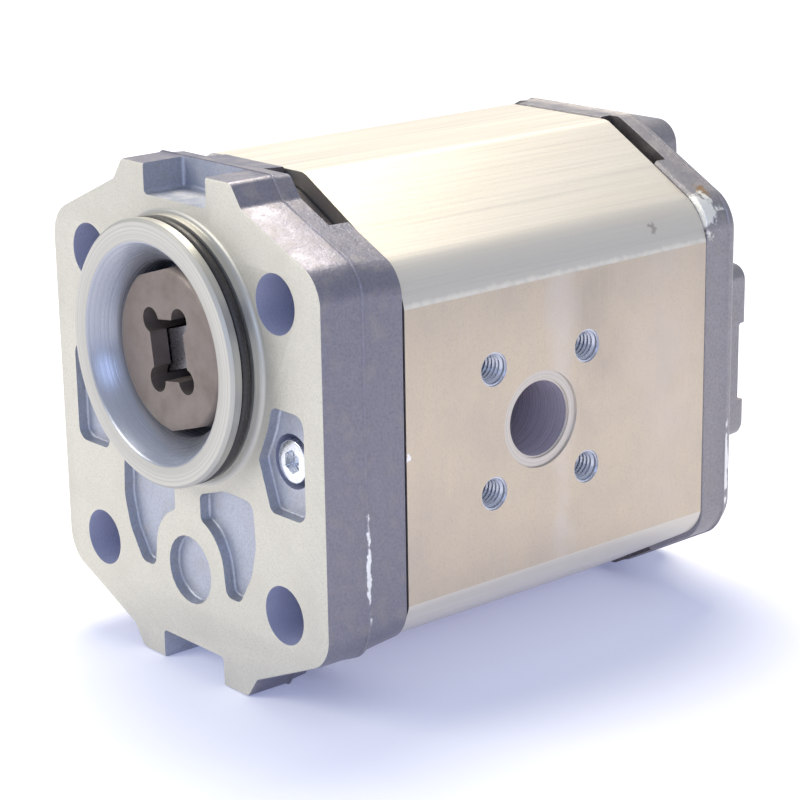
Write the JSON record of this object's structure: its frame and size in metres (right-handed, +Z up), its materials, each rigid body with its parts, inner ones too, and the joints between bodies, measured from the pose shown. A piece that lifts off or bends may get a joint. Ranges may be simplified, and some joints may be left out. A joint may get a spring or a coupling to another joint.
{
  "type": "hydraulic gear pump",
  "caption": "External gear pump: four-bolt flange with centring spigot and tang-drive coupling disc, flange ports on both sides, cast end covers.",
  "frame": {"origin": "bottom centre of the pump's box: it stands on the lower lobes of its covers", "axes": "+Z up, shafts along Y with the mounting face and spigot towards -Y, pressure port on +X"},
  "size_m": [0.0862, 0.127, 0.101],
  "materials": {
    "cast_aluminium": "die cast, machined on the mounting face, spigot and joint",
    "extruded_aluminium": "extruded, with milled port faces",
    "block_aluminium": "machined",
    "gear_steel": "case-hardened and ground",
    "sintered_steel": "sintered, oiled",
    "seal_rubber": "nitrile rubber",
    "backup_plastic": "filled nylon",
    "bush_bronze": "bronze-backed plain bearing",
    "zinc_steel": "bright zinc plate",
    "spring_steel": "phosphated spring steel"
  },
  "bodies": {
    "housing": {"front_cover": "cast_aluminium", "rear_cover": "cast_aluminium", "pump_body": "extruded_aluminium", "front_bearing_block": "block_aluminium", "rear_bearing_block": "block_aluminium", "front_drive_bush": "bush_bronze", "front_driven_bush": "bush_bronze", "rear_drive_bush": "bush_bronze", "rear_driven_bush": "bush_bronze", "front_axial_seal": "seal_rubber", "rear_axial_seal": "seal_rubber", "front_backup_ring": "backup_plastic", "rear_backup_ring": "backup_plastic", "front_body_seal": "seal_rubber", "rear_body_seal": "seal_rubber", "spigot_o_ring": "seal_rubber", "shaft_seal_lip": "seal_rubber", "shaft_seal_case": "zinc_steel", "seal_garter_spring": "spring_steel", "seal_retaining_ring": "spring_steel", "front_upper_dowel": "gear_steel", "front_lower_dowel": "gear_steel", "rear_upper_dowel": "gear_steel", "rear_lower_dowel": "gear_steel", "front_left_screw": "zinc_steel", "front_right_screw": "zinc_steel", "rear_left_screw": "zinc_steel", "rear_right_screw": "zinc_steel"},
    "drive_shaft": {"drive_gear_shaft": "gear_steel"},
    "driven_shaft": {"driven_gear_shaft": "gear_steel"},
    "coupling": {"coupling_disc": "sintered_steel"}
  },
  "joints": [
    {"name": "drive_spin", "type": "hinge", "parent": "housing", "child": "drive_shaft", "pos_m": [0, 0, 0.0665], "axis": [0, 1, 0], "continuous": true},
    {"name": "driven_spin", "type": "hinge", "parent": "housing", "child": "driven_shaft", "pos_m": [0, 0, 0.0345], "axis": [0, 1, 0], "continuous": true},
    {"name": "coupling_float", "type": "slide", "parent": "drive_shaft", "child": "coupling", "axis": [0.9563, 0, 0.2924], "range_m": [-0.0005, 0.0005]}
  ],
  "couplings": [
    {"joint": "driven_spin", "follows": "drive_spin", "ratio": -1}
  ]
}
